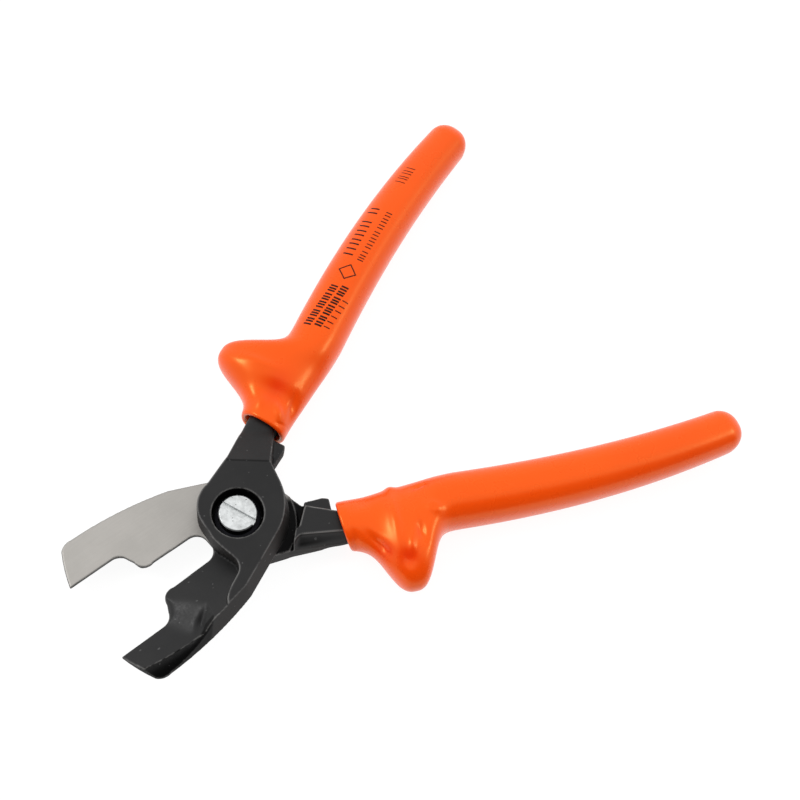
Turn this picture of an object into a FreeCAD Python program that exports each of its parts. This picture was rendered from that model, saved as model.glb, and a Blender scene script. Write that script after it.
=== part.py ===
"""Insulated cable cutter: two forged arms turning on a slotted pivot bolt, with dipped grips.

Frame: the pivot axis is Z through the origin and z = 0 is the plane in which the blades shear.
+X runs from the pivot to the handles, halfway between them, and +Y towards the front arm's handle.
Both arms come from one forging, drawn in an arm frame: +x along the handle, the jaw towards -x
with its cutting edge facing +y, and the shear face at z = 0 with the head standing up in +z.
The rear arm is that forging turned over about the tool's X axis.
"""
import FreeCAD
import Part
import Sketcher
import math
import os

Vector = FreeCAD.Vector
Rotation = FreeCAD.Rotation
Placement = FreeCAD.Placement
X_AXIS = Vector(1, 0, 0)
Y_AXIS = Vector(0, 1, 0)
Z_AXIS = Vector(0, 0, 1)

# Driving dimensions, in millimetres and degrees.
DIMENSIONS = {
    # the joint between the arms
    "rest_opening": 57.27,
    "closed_opening": 15.6,
    "head_height": 8.4,
    "shear_gap": 0.05,
    "land_radius": 16.5,
    "land_step": 0.6,
    "wall_clearance": 0.34,
    "wall_angle": 22.8,
    # the jaw
    "jaw_reach": 47.4,
    "jaw_breadth": 20.4,
    "edge_thickness": 1.2,
    "bevel_slope": 25.0,
    "spine_draft": 1.7,
    # the neck, the tang inside the grip and the stop lug
    "neck_half": 4.2,
    "neck_mouth": 28.0,
    "tang_half": 3.4,
    "tang_width": 10.0,
    "tang_end_width": 6.5,
    "tang_cover": 12.6,
    "lug_half": 2.0,
    "lug_reach": 25.9,
    # the pivot bolt and what sits on it
    "bolt_head_radius": 5.25,
    "bolt_head_height": 3.0,
    "bolt_recess": 0.25,
    "slot_width": 1.7,
    "slot_depth": 0.9,
    "slot_angle": -67.0,
    "shoulder_radius": 4.0,
    "running_clearance": 0.03,
    "seat_depth": 1.0,
    "front_counterbore_clearance": 0.75,
    "spring_thickness": 0.6,
    "spring_rise": 0.45,
    "spring_radius": 6.3,
    "thread_radius": 3.0,
    "thread_clearance": 0.02,
    "nut_flats": 10.0,
    "nut_height": 3.6,
    "nut_recess": 0.3,
    "washer_radius": 6.2,
    "washer_thickness": 0.8,
    "rear_counterbore_clearance": 0.4,
    "ring_radius": 4.0,
    "ring_height": 1.0,
    # the dipped grips
    "grip_start": 28.7,
    "grip_end": 152.6,
    "grip_offset": 2.6,
    "grip_bow": 11.2,
    "bow_start": 55.0,
    "grip_width": 16.0,
    "grip_depth": 15.8,
    "grip_end_width": 12.8,
    "guard_place": 46.0,
    "guard_height": 15.2,
    "guard_mouth_spread": 9.5,
    "guard_handle_spread": 7.3,
    "mouth_inner": -1.5,
    "mouth_outer": 12.6,
    "mouth_wall": 1.5,
    "mouth_slant": 7.5,
    "mouth_depth": 11.0,
}

doc = FreeCAD.newDocument("cable_cutter")
sheet = doc.addObject("Spreadsheet::Sheet", "Dimensions")
for row, (alias, amount) in enumerate(DIMENSIONS.items(), start=1):
    sheet.set("A%d" % row, alias)
    sheet.set("B%d" % row, str(amount))
    sheet.setAlias("B%d" % row, alias)
doc.recompute()


def size(alias):
    """The value of one driving dimension, as the sheet holds it."""
    return float(getattr(sheet, alias))


def bind(item, **formulas):
    """Bind properties to formulas whose @ signs stand for the sheet's name."""
    for name, formula in formulas.items():
        item.setExpression(name.replace("__", "."), formula.replace("@", "Dimensions."))
    return item


# ---------------------------------------------------------------- sketches and solids in the arm frame

def closed_sketch(name, edges, placement=None):
    """A free sketch of joined lines, arcs and splines, each end tied to the next start."""
    sketch = doc.addObject("Sketcher::SketchObject", name)
    for edge in edges:
        sketch.addGeometry(edge, False)
    if placement:
        sketch.Placement = placement
    return sketch


def line(a, b):
    return Part.LineSegment(Vector(*a), Vector(*b))


def arc(a, middle, b):
    return Part.Arc(Vector(*a), Vector(*middle), Vector(*b))


def polygon(points):
    """Straight edges round a list of (x, y) corners."""
    corners = [(x, y, 0) for x, y in points]
    return [line(a, b) for a, b in zip(corners, corners[1:] + corners[:1])]


def extrusion(name, sketch, length, down="0"):
    """A prism of a sketch along its own normal, with both lengths bound to the sheet."""
    prism = doc.addObject("Part::Extrusion", name)
    prism.Base = sketch
    prism.DirMode = "Normal"
    prism.Solid = True
    return bind(prism, LengthFwd=length, LengthRev=down)


def loft(name, sections, ruled):
    body = doc.addObject("Part::Loft", name)
    body.Sections = sections
    body.Solid = True
    body.Ruled = ruled
    return body


def half_space(name, point, outward, span=120):
    """A large block whose bottom face passes through a point, on the side that outward points to."""
    block = doc.addObject("Part::Box", name)
    block.Length = span
    block.Width = span
    block.Height = span
    turn = Rotation(Z_AXIS, Vector(*outward))
    block.Placement = Placement(Vector(*point) - turn.multVec(Vector(span / 2, span / 2, 0)), turn)
    return block


def boolean(kind, name, *shapes):
    """Cut takes the later shapes from the first; MultiFuse and MultiCommon take any number."""
    if kind == "Cut":
        item = doc.addObject("Part::Cut", name)
        item.Base, item.Tool = shapes
        return item
    item = doc.addObject("Part::" + kind, name)
    item.Shapes = list(shapes)
    return item


# ---------------------------------------------------------------- the forging that both arms share

def wall_distance():
    """How far from the pivot an arm's flat wall stands, so that the other arm's land turns past it."""
    return size("land_radius") + size("wall_clearance")


def tang_length():
    """The tang ends inside the grip, under a cover of plastic."""
    return size("grip_end") - size("tang_cover")


def jaw_point(along, across):
    """A point of the jaw: along in shares of its reach, across in shares of its breadth."""
    return (-along * size("jaw_reach"), across * size("jaw_breadth"), 0)


def tip_point(across):
    """A point of the rounded tip, which swings on the jaw's reach."""
    y = across * size("jaw_breadth")
    return (-math.sqrt(size("jaw_reach") ** 2 - y ** 2), y, 0)


def head_outline(rise):
    """The head from above: cutting edge, tip, spine, boss and neck.

    rise is 0 at the shear face and 1 at the top, where the drafted walls have leaned in.
    """
    lean = rise * size("spine_draft")
    boss = size("land_radius")
    mouth = size("neck_mouth") + 4
    throat = [jaw_point(0.190, 0.170), jaw_point(0.225, 0.110), jaw_point(0.285, 0.118)]
    crest = [jaw_point(0.500, 0.376), jaw_point(0.559, 0.424), jaw_point(0.605, 0.350)]
    notch = [jaw_point(0.640, 0.292), jaw_point(0.690, 0.240), jaw_point(0.728, 0.262)]
    tip, nose, heel = tip_point(0.569), tip_point(0.3), tip_point(0.06)
    spine_end = jaw_point(0.945, -0.085)
    low_spine = (-0.735 * size("jaw_reach"), -0.322 * size("jaw_breadth") + lean, 0)
    mid_spine = (-0.370 * size("jaw_reach"), -0.598 * size("jaw_breadth") + lean, 0)
    boss_foot = (0.0, -0.83 * boss + lean, 0)
    boss_side = (0.47 * boss - 0.7 * lean, -0.75 * boss + 0.8 * lean, 0)
    boss_edge = (0.845 * boss - 0.6 * lean, -0.44 * boss + 0.2 * lean, 0)
    corner = (1.15 * boss - 0.8 * lean, -0.13 * boss + 0.3 * lean, 0)
    neck_in = (mouth, 0.18 * boss, 0)
    neck_out = (mouth, 0.60 * boss, 0)
    waist = (0.85 * boss, 0.615 * boss - 0.6 * rise, 0)
    brow = (0.25 * boss, 0.70 * boss - 0.5 * rise, 0)
    forehead = (-0.08 * boss, 0.69 * boss, 0)
    cheek = (-0.36 * boss, 0.50 * boss, 0)
    return [
        arc(*throat),
        line(throat[2], crest[0]),
        arc(*crest),
        line(crest[2], notch[0]),
        arc(*notch),
        line(notch[2], tip),
        arc(tip, nose, heel),
        arc(heel, jaw_point(0.978, -0.035), spine_end),
        arc(spine_end, low_spine, mid_spine),
        line(mid_spine, boss_foot),
        arc(boss_foot, boss_side, boss_edge),
        line(boss_edge, corner),
        line(corner, neck_in),
        line(neck_in, neck_out),
        line(neck_out, waist),
        line(waist, brow),
        arc(brow, forehead, cheek),
        line(cheek, throat[0]),
    ]


def handle_centre(x):
    """How far the handle's centre line stands outside the arm's x axis."""
    share = max(0.0, (x - size("bow_start")) / (size("grip_end") - size("bow_start")))
    return size("grip_offset") - size("grip_bow") * share ** 2.2


def handle_tangent(x):
    step = 0.5
    slope = (handle_centre(x + step) - handle_centre(x - step)) / (2 * step)
    return Vector(1, slope, 0).normalize()


def make_head():
    """The head as one drafted block from the shear face up, still without its bevels."""
    foot = closed_sketch("head_foot", head_outline(0))
    crown = closed_sketch("head_crown", head_outline(1))
    bind(foot, Placement__Base__z="@shear_gap / 2")
    bind(crown, Placement__Base__z="@head_height")
    return loft("head_block", [foot, crown], True)


def bevel_plane(name, point, run, rise):
    """Everything above a bevel that climbs inwards from a cutting edge through point.

    run is the direction of that edge and rise the bevel's slope in degrees.
    """
    length = math.hypot(*run)
    inward = (-run[1] / length, run[0] / length)
    climb = math.radians(rise)
    outward = (-inward[0] * math.sin(climb), -inward[1] * math.sin(climb), math.cos(climb))
    return half_space(name, (point[0], point[1], size("edge_thickness")), outward)


def cut_jaw(head):
    """Bevel the jaw from its cutting edges, leave the boss standing and scoop out the tip's spine."""
    high = size("head_height") * 2
    inner = (jaw_point(0.285, 0.118), jaw_point(0.500, 0.382))
    outer = (jaw_point(0.728, 0.262), tip_point(0.569))
    inner_run = (inner[1][0] - inner[0][0], inner[1][1] - inner[0][1])
    outer_run = (outer[1][0] - outer[0][0], outer[1][1] - outer[0][1])
    slope = size("bevel_slope")
    # The boss ends in a wall that sweeps from the throat round to the spine.
    wall = [jaw_point(*shares) for shares in (
        (0.165, 0.275), (0.210, 0.075), (0.238, -0.130), (0.262, -0.270), (0.297, -0.335),
        (0.352, -0.345), (0.425, -0.340), (0.520, -0.430))]
    sweep = Part.BSplineCurve()
    sweep.interpolate([Vector(*point) for point in wall])
    far = [wall[-1], jaw_point(0.62, -0.9), jaw_point(1.3, -0.9), jaw_point(1.3, 1.2), jaw_point(0.12, 1.2)]
    around = [line(a, b) for a, b in zip(far, far[1:] + [wall[0]])]
    region = extrusion("jaw_region", closed_sketch("jaw_region_outline", [sweep] + around),
                       "@head_height * 1.2", "-@edge_thickness")
    above_inner = bevel_plane("above_inner_bevel", inner[0], inner_run, slope)
    relief = boolean("MultiCommon", "inner_relief", region, above_inner)
    # Beyond the notch the bevel follows the outer edge, a step lower than the inner bevel.
    above_outer = bevel_plane("above_outer_bevel", outer[0], outer_run, slope)
    step_top = jaw_point(0.585, 0.350)
    step = half_space("beyond_step", (step_top[0], step_top[1], size("edge_thickness")), (-0.80, -0.05, 0.60))
    rib_foot = jaw_point(0.66, -0.215)
    beside_rib = half_space("beside_rib", (rib_foot[0], rib_foot[1], 4.6), (-0.30, 0.70, 0.65))
    tip_corners = [jaw_point(*shares)[:2] for shares in ((0.5, -0.9), (0.5, 1.2), (1.3, 1.2), (1.3, -0.9))]
    tip_region = extrusion("tip_region", closed_sketch("tip_region_outline", polygon(tip_corners)),
                           "@head_height * 1.2", "-@edge_thickness")
    tip_relief = boolean("MultiCommon", "tip_relief", above_outer, step, beside_rib, tip_region)
    # The scoop: a concave flute that widens along the spine to the tip.
    flute_sections = [flute_section(place, high) for place in (FLUTE_START, 0.80, FLUTE_END)]
    flute = loft("spine_flute", flute_sections, False)
    cutters = boolean("MultiFuse", "jaw_cutters", relief, tip_relief)
    bevelled = boolean("Cut", "bevelled_head", head, cutters)
    return boolean("Cut", "fluted_head", bevelled, flute)


def throat_chamfer():
    """The rear arm's boss leans back from the throat, which leaves the cable's path clear."""
    corner = jaw_point(0.198, 0.137)
    plane = half_space("throat_plane", (corner[0], corner[1], size("edge_thickness")), (-0.80, 0.46, 0.385))
    level = half_space("throat_level", (0, 0, size("edge_thickness")), (0, 0, 1))
    side = boolean("MultiCommon", "throat_side", plane, level)
    return boolean("Cut", "throat_chamfer", side, doc.getObject("jaw_region"))


# The flute runs from this share of the jaw's reach to just past the tip.
FLUTE_START = 0.60
FLUTE_END = 1.04


def flute_section(place, high):
    """One section of the flute across the jaw, place being its share of the jaw's reach."""
    share = (place - FLUTE_START) / (FLUTE_END - FLUTE_START)
    ridge = (-0.345 + 0.66 * share - 0.26 * share * (1 - share)) * size("jaw_breadth")
    ridge_height = 7.4 - 3.4 * share
    foot = (-0.44 + 0.36 * share) * size("jaw_breadth")
    foot_height = 6.2 - 5.4 * share ** 0.6
    sag = 0.35 + 0.9 * share
    width = ridge - foot
    fall = ridge_height - foot_height
    chord = math.hypot(width, fall)
    belly = ((ridge + foot) / 2 + sag * fall / chord, (ridge_height + foot_height) / 2 - sag * width / chord)
    edges = [
        arc((ridge, ridge_height, 0), (belly[0], belly[1], 0), (foot, foot_height, 0)),
        line((foot, foot_height, 0), (foot - 14, foot_height - 3, 0)),
        line((foot - 14, foot_height - 3, 0), (foot - 14, high, 0)),
        line((foot - 14, high, 0), (ridge, high, 0)),
        line((ridge, high, 0), (ridge, ridge_height, 0)),
    ]
    across = Rotation(Y_AXIS, Z_AXIS, X_AXIS, "ZXY")
    sketch = closed_sketch("flute_section_%d" % round(100 * place), edges)
    sketch.Placement = Placement(Vector(-place * size("jaw_reach"), 0, 0), across)
    return sketch


def cut_neck_ramp(head):
    """The neck falls from the top of the head to the tang's own height at the grip's mouth."""
    angle = math.radians(size("wall_angle"))
    facing = (math.cos(angle), math.sin(angle))
    start = wall_distance() - 1.5
    fall = size("head_height") - size("neck_half")
    run = size("neck_mouth") - 2.0 - start
    steep = math.atan2(fall, run)
    outward = (facing[0] * math.sin(steep), facing[1] * math.sin(steep), math.cos(steep))
    point = (facing[0] * start, facing[1] * start, size("head_height"))
    ramp = half_space("above_neck_ramp", point, outward)
    return boolean("Cut", "ramped_head", head, ramp)


def cut_land_step(head):
    """Outside the round bearing land the shear side stands back, so only the land and blade touch."""
    angle = math.radians(size("wall_angle"))
    ring = doc.addObject("Part::Cylinder", "step_disc")
    bind(ring, Radius="@land_radius * 2", Height="@land_step + @shear_gap")
    bind(ring, Placement__Base__z="-@shear_gap / 2")
    land = doc.addObject("Part::Cylinder", "land_disc")
    bind(land, Radius="@land_radius", Height="@head_height")
    bind(land, Placement__Base__z="-@head_height / 2")
    outside = boolean("Cut", "outside_land", ring, land)
    handle_side = half_space("handle_side", (0.62 * size("land_radius"), 0, 0), (1, 0, 0))
    step = boolean("MultiCommon", "land_relief", outside, handle_side)
    return boolean("Cut", "stepped_head", head, step)


def make_tang():
    """The neck and tang: a bar about the middle plane that runs to the end of the grip."""
    mouth = size("neck_mouth")
    boss = size("land_radius")
    length = tang_length()
    outer = [(mouth, 0.59 * boss)]
    inner = [(mouth, 0.125 * boss)]
    neck = [(0.80 * boss, 0.615 * boss), (1.00 * boss, -0.10 * boss), (1.14 * boss, -0.06 * boss)]
    neck += [(mouth + 5, -0.02 * boss), (mouth + 5, 0.58 * boss)]
    for x in (mouth + 14, size("bow_start"), 0.6 * length, 0.8 * length, length):
        share = (x - mouth) / (length - mouth)
        half = ((1 - share) * size("tang_width") + share * size("tang_end_width")) / 2
        tangent = handle_tangent(x)
        centre = handle_centre(x)
        outer.append((x - tangent.y * half, centre + tangent.x * half))
        inner.append((x + tangent.y * half, centre - tangent.x * half))
    outline = closed_sketch("tang_outline", polygon(outer + inner[::-1]))
    bar = extrusion("tang_bar", outline, "@tang_half", "@tang_half")
    neck_outline = closed_sketch("neck_outline", polygon(neck[:3] + [inner[0]] + neck[3:] + [outer[0]]))
    neck_bar = extrusion("neck_bar", neck_outline, "@neck_half", "@neck_half")
    # The flat wall that the other arm's land turns past.
    angle = math.radians(size("wall_angle"))
    facing = (math.cos(angle), math.sin(angle))
    foot = (facing[0] * wall_distance(), facing[1] * wall_distance(), 0)
    beyond_wall = half_space("beyond_wall", foot, (facing[0], facing[1], 0))
    upper = doc.addObject("Part::Box", "upper_side")
    bind(upper, Length="@grip_end * 2", Width="@grip_end * 2", Height="@neck_half * 2")
    bind(upper, Placement__Base__y="-@grip_end")
    bind(upper, Placement__Base__z="@land_step + @shear_gap / 2")
    kept = boolean("MultiFuse", "tang_side", beyond_wall, upper)
    neck_kept = boolean("MultiCommon", "neck", neck_bar, kept)
    return boolean("MultiFuse", "tang", bar, neck_kept)


def make_lug():
    """The stop lug on the inner side of the neck, whose flat face meets the other arm's lug."""
    stop = math.radians(-size("closed_opening") / 2)
    reach = size("lug_reach")
    foot = size("land_radius") + 2.55
    along = (math.cos(stop), math.sin(stop))
    corners = [
        (foot * along[0], foot * along[1]),
        ((reach - 1.6) * along[0], (reach - 1.6) * along[1]),
        (reach + 0.1, -0.110 * reach),
        (reach + 0.3, 2.4),
        (foot, 0.6),
    ]
    outline = closed_sketch("lug_outline", polygon(corners))
    return extrusion("lug", outline, "@lug_half", "@lug_half")


def cylinder(name, radius, height, base="0"):
    """An upright cylinder about the pivot axis, with every size bound to the sheet."""
    item = doc.addObject("Part::Cylinder", name)
    return bind(item, Radius=radius, Height=height, Placement__Base__z=base)


def make_forging():
    head = cut_land_step(cut_neck_ramp(cut_jaw(make_head())))
    return boolean("MultiFuse", "arm_forging", head, make_tang(), make_lug())


def place_arm(item, turned_over):
    """Turn a piece from the arm frame to its place at rest."""
    spread = Rotation(Z_AXIS, size("rest_opening") / 2)
    if turned_over:
        spread = Rotation(Z_AXIS, -size("rest_opening") / 2).multiply(Rotation(X_AXIS, 180))
    item.Placement = Placement(Vector(0, 0, 0), spread)
    return item


# The stack on the bolt, from the head down: each level is a height above the shear plane.
HEAD_TOP = "(@head_height - @bolt_recess)"
HEAD_SEAT = "(@head_height - @bolt_recess - @bolt_head_height)"
SPRING_FOOT = "(@head_height - @bolt_recess - @bolt_head_height - @spring_rise - @spring_thickness)"
FRONT_FLOOR = "(" + SPRING_FOOT + " - @running_clearance)"
REAR_FLOOR = "(-@head_height + @nut_recess + @nut_height + @washer_thickness)"
SHOULDER_END = "(-@shear_gap / 2 - @seat_depth)"
BOLT_END = "(-@head_height + @nut_recess)"
# The counterbores clear the widest piece that sits in them.
FRONT_COUNTERBORE = "max(@bolt_head_radius; @spring_radius) + @front_counterbore_clearance"
REAR_COUNTERBORE = "max(@washer_radius; @nut_flats / sqrt(3)) + @rear_counterbore_clearance"


def make_arms(forging):
    """The two arms: the front one bored to turn on the shoulder, the rear one to hold the thread."""
    front_holes = boolean(
        "MultiFuse", "front_holes",
        cylinder("front_recess", FRONT_COUNTERBORE, "@head_height", FRONT_FLOOR),
        cylinder("front_bore", "@shoulder_radius + @running_clearance", "@head_height * 3", "-@head_height"))
    front = boolean("Cut", "front_arm", forging, front_holes)
    # In the arm frame the rear arm stands the same way up, so its levels change sign.
    rear_holes = boolean(
        "MultiFuse", "rear_holes",
        cylinder("rear_recess", REAR_COUNTERBORE, "@head_height", "-" + REAR_FLOOR),
        cylinder("rear_seat", "@shoulder_radius + @thread_clearance",
                 "@head_height + @shear_gap / 2 + @seat_depth", "-@head_height"),
        cylinder("rear_thread", "@thread_radius + @thread_clearance", "@head_height * 3", "-@head_height"),
        throat_chamfer())
    rear = boolean("Cut", "rear_arm", forging, rear_holes)
    place_arm(front, False)
    place_arm(rear, True)
    return [front, rear]


# ---------------------------------------------------------------- the grips

# An oval section is a little squarer than an ellipse, and the guard's bell fuller than a plain one.
SQUARENESS = 2.4
GUARD_FULLNESS = 2.8
# At the mouth the grip is a little thinner than at the guard.
MOUTH_THINNING = 0.06


def grip_edges(x):
    """The grip's inner and outer edge at x, with the pinch guard as a full bell on the outer side."""
    start = size("grip_start")
    plain = plain_start()
    along = min(1.0, (x - start) / (plain - start))
    half = grip_half_width(x)
    inner = size("mouth_inner") + along * (handle_centre(plain) - half - size("mouth_inner"))
    outer = size("mouth_outer") + along * (handle_centre(plain) + half - size("mouth_outer"))
    from_guard = x - size("guard_place")
    spread = size("guard_mouth_spread") if from_guard < 0 else size("guard_handle_spread")
    return inner, outer + size("guard_height") * math.exp(-abs(from_guard / spread) ** GUARD_FULLNESS)


def plain_start():
    """Where the handle is past the pinch guard and has its plain oval section."""
    return size("bow_start") + 7


def grip_half_width(x):
    share = max(0.0, x - size("bow_start")) / (size("grip_end") - size("bow_start"))
    return (size("grip_width") + (size("grip_end_width") - size("grip_width")) * share ** 2) / 2


def ring_section(name, centre, tangent, half_width, half_depth):
    """An oval section across the handle, a little squarer than an ellipse, as one closed spline."""
    count = 16
    points = []
    for step in range(count):
        turn = 2 * math.pi * step / count
        reach = (abs(math.cos(turn)) ** SQUARENESS + abs(math.sin(turn)) ** SQUARENESS) ** (-1 / SQUARENESS)
        points.append(Vector(half_width * reach * math.cos(turn), half_depth * reach * math.sin(turn), 0))
    curve = Part.BSplineCurve()
    curve.interpolate(points, PeriodicFlag=True)
    outward = Vector(-tangent.y, tangent.x, 0)
    across = Rotation(outward, Z_AXIS, tangent, "ZXY")
    return closed_sketch(name, [curve], Placement(centre, across))


def make_grip_form():
    """The outside of a grip, from its mouth over the pinch guard to the rounded end."""
    start = size("grip_start")
    end = size("grip_end")
    guard = size("guard_place")
    plain = plain_start()
    depth = size("grip_depth") / 2
    sections = []
    for offset in (0.0, 0.2, 0.4, 0.6, 0.75, 0.88, 1.0, 1.12, 1.24, 1.36, 1.5, 1.7):
        x = start + (guard - start) * offset
        inner, outer = grip_edges(x)
        centre = Vector(x, (inner + outer) / 2, 0)
        swell = depth * (1 - MOUTH_THINNING * (1 - min(1.0, offset)))
        slant = Rotation(Z_AXIS, size("mouth_slant") * (offset - 1) if offset < 1 else 0)
        sections.append((centre, slant.multVec(X_AXIS), (outer - inner) / 2, swell))
    body_end = end - size("grip_end_width") / 2
    for share in (0.0, 0.2, 0.4, 0.6, 0.8, 1.0):
        x = plain + (body_end - plain) * share
        half = grip_half_width(x)
        tangent = handle_tangent(x)
        half_depth = half * depth * 2 / size("grip_width")
        sections.append((Vector(x, handle_centre(x), 0), tangent, half, half_depth))
    cap = size("grip_end_width") / 2
    for turn in (30, 55, 74, 86):
        x = body_end + cap * math.sin(math.radians(turn))
        narrow = math.cos(math.radians(turn))
        half = grip_half_width(body_end) * narrow
        centre = Vector(x, handle_centre(body_end) + (x - body_end) * handle_tangent(body_end).y, 0)
        sections.append((centre, handle_tangent(body_end), half, half * depth * 2 / size("grip_width")))
    rings = [ring_section("grip_ring_%02d" % n, *parts) for n, parts in enumerate(sections)]
    return loft("grip_form", rings, False)


def make_grips(forging):
    """Both grips, hollowed for the tang, with a mouth that stands clear of the neck."""
    start = size("grip_start")
    wall = size("mouth_wall")
    depth = size("grip_depth") / 2
    mouth_rings = []
    for x, share in ((start - 1.0, 1.0), (start, 1.0), (start + size("mouth_depth"), 0.62)):
        inner, outer = grip_edges(start)
        half = (outer - inner) / 2 - wall
        centre = Vector(x, (inner + outer) / 2 - 1.2 * (1 - share), 0)
        slant = Rotation(Z_AXIS, -size("mouth_slant") * (1 if x <= start else 0.4))
        mouth_rings.append(ring_section("mouth_ring_%d" % len(mouth_rings), centre, slant.multVec(X_AXIS),
                                        half * share, (depth * (1 - MOUTH_THINNING) - wall) * share))
    mouth = loft("grip_mouth", mouth_rings, True)
    hollow = boolean("Cut", "hollow_grip", make_grip_form(), mouth)
    grips = []
    for name, turned_over in (("front_grip", False), ("rear_grip", True)):
        grips.append(place_arm(boolean("Cut", name, hollow, forging), turned_over))
    return grips


# ---------------------------------------------------------------- bodies of revolution on the pivot

def origin_plane(body, role):
    return [item for item in body.Origin.OriginFeatures if item.Role == role][0]


def turned_body(name, profile):
    """A body turned about the pivot axis from (radius, height) corners given as formulas."""
    body = doc.addObject("PartDesign::Body", name)
    sketch = body.newObject("Sketcher::SketchObject", name + "_profile")
    sketch.AttachmentSupport = [(origin_plane(body, "XZ_Plane"), "")]
    sketch.MapMode = "FlatFace"
    count = len(profile)
    for n in range(count):
        turn = 2 * math.pi * n / count
        after = 2 * math.pi * (n + 1) / count
        sketch.addGeometry(line((8 + math.cos(turn), math.sin(turn), 0),
                                (8 + math.cos(after), math.sin(after), 0)), False)
    for n, (radius, height) in enumerate(profile):
        before = (n - 1) % count
        sketch.addConstraint(Sketcher.Constraint("Coincident", before, 2, n, 1))
        across = sketch.addConstraint(Sketcher.Constraint("DistanceX", -1, 1, n, 1, 8.0))
        up = sketch.addConstraint(Sketcher.Constraint("DistanceY", -1, 1, n, 1, 1.0))
        sketch.setExpression("Constraints[%d]" % across, radius.replace("@", "Dimensions."))
        sketch.setExpression("Constraints[%d]" % up, height.replace("@", "Dimensions."))
    turned = body.newObject("PartDesign::Revolution", name + "_turned")
    turned.Profile = sketch
    turned.ReferenceAxis = (sketch, ["V_Axis"])
    turned.Angle = 360
    doc.recompute()
    return body


def make_bolt():
    chamfer = "0.35"
    body = turned_body("pivot_bolt", [
        ("0", HEAD_TOP),
        ("@bolt_head_radius - " + chamfer, HEAD_TOP),
        ("@bolt_head_radius", HEAD_TOP + " - " + chamfer),
        ("@bolt_head_radius", HEAD_SEAT),
        ("@shoulder_radius", HEAD_SEAT),
        ("@shoulder_radius", SHOULDER_END),
        ("@thread_radius", SHOULDER_END),
        ("@thread_radius", BOLT_END + " + " + chamfer),
        ("@thread_radius - " + chamfer, BOLT_END),
        ("0", BOLT_END),
    ])
    slot = body.newObject("Sketcher::SketchObject", "driver_slot")
    slot.AttachmentSupport = [(origin_plane(body, "XY_Plane"), "")]
    slot.MapMode = "FlatFace"
    bind(slot, AttachmentOffset__Base__z=HEAD_TOP)
    reach = size("bolt_head_radius") + 1
    half = size("slot_width") / 2
    for edge in polygon([(-reach, -half), (reach, -half), (reach, half), (-reach, half)]):
        slot.addGeometry(edge, False)
    pocket = body.newObject("PartDesign::Pocket", "driver_slot_cut")
    pocket.Profile = slot
    bind(pocket, Length="@slot_depth")
    body.Tip = pocket
    body.Placement = Placement(Vector(0, 0, 0), Rotation(Z_AXIS, size("slot_angle")))
    return body


def make_spring_washer():
    """A coned spring washer between the bolt's head and the floor of the front arm's recess."""
    bore = "@shoulder_radius + 0.1"
    return turned_body("spring_washer", [
        (bore, HEAD_SEAT),
        (bore, HEAD_SEAT + " - @spring_thickness"),
        ("@spring_radius", SPRING_FOOT),
        ("@spring_radius", SPRING_FOOT + " + @spring_thickness"),
    ])


def make_back_washer():
    bore = "@thread_radius + 0.2"
    return turned_body("back_washer", [
        (bore, REAR_FLOOR),
        ("@washer_radius", REAR_FLOOR),
        ("@washer_radius", REAR_FLOOR + " - @washer_thickness"),
        (bore, REAR_FLOOR + " - @washer_thickness"),
    ])


def make_lock_nut():
    """The hexagonal lock nut, recessed at its back for the locking ring."""
    body = doc.addObject("PartDesign::Body", "lock_nut")
    outline = body.newObject("Sketcher::SketchObject", "lock_nut_outline")
    outline.AttachmentSupport = [(origin_plane(body, "XY_Plane"), "")]
    outline.MapMode = "FlatFace"
    bind(outline, AttachmentOffset__Base__z=BOLT_END)
    corner = size("nut_flats") / math.sqrt(3)
    turns = [math.radians(60 * n) for n in range(6)]
    for edge in polygon([(corner * math.cos(turn), corner * math.sin(turn)) for turn in turns]):
        outline.addGeometry(edge, False)
    bore = outline.addGeometry(Part.Circle(Vector(0, 0, 0), Z_AXIS, 3), False)
    radius = outline.addConstraint(Sketcher.Constraint("Radius", bore, 3.0))
    bind(outline, **{"Constraints[%d]" % radius: "@thread_radius + @thread_clearance"})
    pad = body.newObject("PartDesign::Pad", "lock_nut_pad")
    pad.Profile = outline
    bind(pad, Length="@nut_height")
    doc.recompute()
    recess = body.newObject("Sketcher::SketchObject", "lock_nut_recess")
    recess.AttachmentSupport = [(origin_plane(body, "XY_Plane"), "")]
    recess.MapMode = "FlatFace"
    bind(recess, AttachmentOffset__Base__z=BOLT_END)
    edge = recess.addGeometry(Part.Circle(Vector(0, 0, 0), Z_AXIS, 4), False)
    radius = recess.addConstraint(Sketcher.Constraint("Radius", edge, 4.0))
    bind(recess, **{"Constraints[%d]" % radius: "@ring_radius"})
    cut = body.newObject("PartDesign::Pocket", "lock_nut_recess_cut")
    cut.Profile = recess
    cut.Reversed = True
    bind(cut, Length="@ring_height")
    body.Tip = cut
    doc.recompute()
    return body


def make_locking_ring():
    bore = "@thread_radius + @thread_clearance"
    return turned_body("locking_ring", [
        (bore, BOLT_END),
        ("@ring_radius", BOLT_END),
        ("@ring_radius", BOLT_END + " + @ring_height"),
        (bore, BOLT_END + " + @ring_height"),
    ])


# ---------------------------------------------------------------- build, check and write

def check_document():
    for item in doc.Objects:
        if "Invalid" in item.State or "Error" in item.State:
            raise RuntimeError("%s did not compute: %s" % (item.Name, item.State))


def check_shape(item):
    shape = item.Shape
    if shape.isNull() or not shape.isValid() or not shape.Solids:
        raise RuntimeError("%s has no valid solid" % item.Label)


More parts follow.
